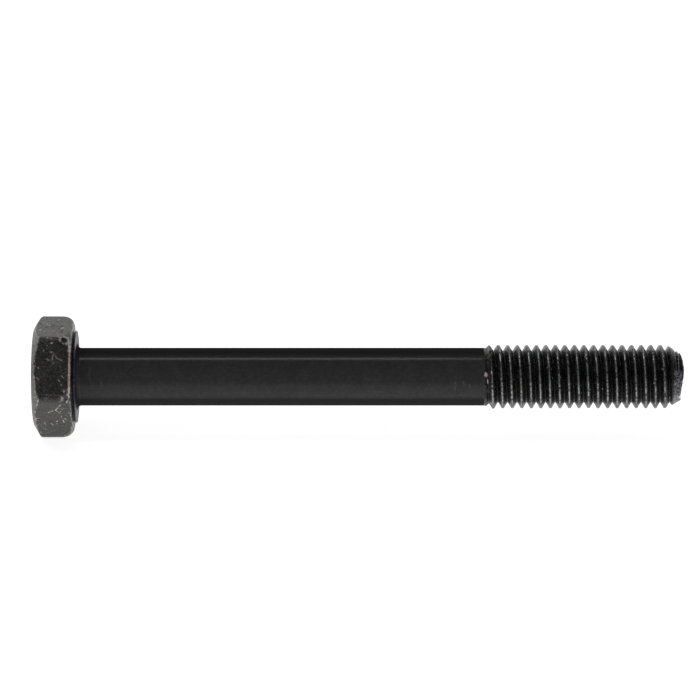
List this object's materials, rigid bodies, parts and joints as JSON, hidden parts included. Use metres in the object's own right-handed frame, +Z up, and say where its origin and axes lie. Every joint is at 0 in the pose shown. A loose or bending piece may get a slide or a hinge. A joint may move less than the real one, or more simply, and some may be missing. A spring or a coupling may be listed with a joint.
{
  "type": "hex bolt",
  "caption": "Long hexagon-head bolt with a plain reduced shank, a threaded end with a chamfered point, and a black oxide finish.",
  "frame": {"origin": "centre of the bearing face, the flat ring under the head that presses on the clamped part", "axes": "+X along the bolt from the head to the tip; +Z up, normal to one of the six wrench flats; two corners of the hexagon point along Y"},
  "size_m": [0.1017, 0.019, 0.017],
  "materials": {
    "head_steel": "black oxide over forged steel, oiled, worn grey along the edges",
    "shank_steel": "smooth drawn black oxide, oiled",
    "thread_steel": "rolled thread in black oxide with brighter crests"
  },
  "bodies": {
    "root": {"hex_head": "head_steel", "washer_face": "head_steel", "fillet": "head_steel", "shank": "shank_steel", "thread": "thread_steel", "point": "thread_steel"}
  },
  "joints": []
}
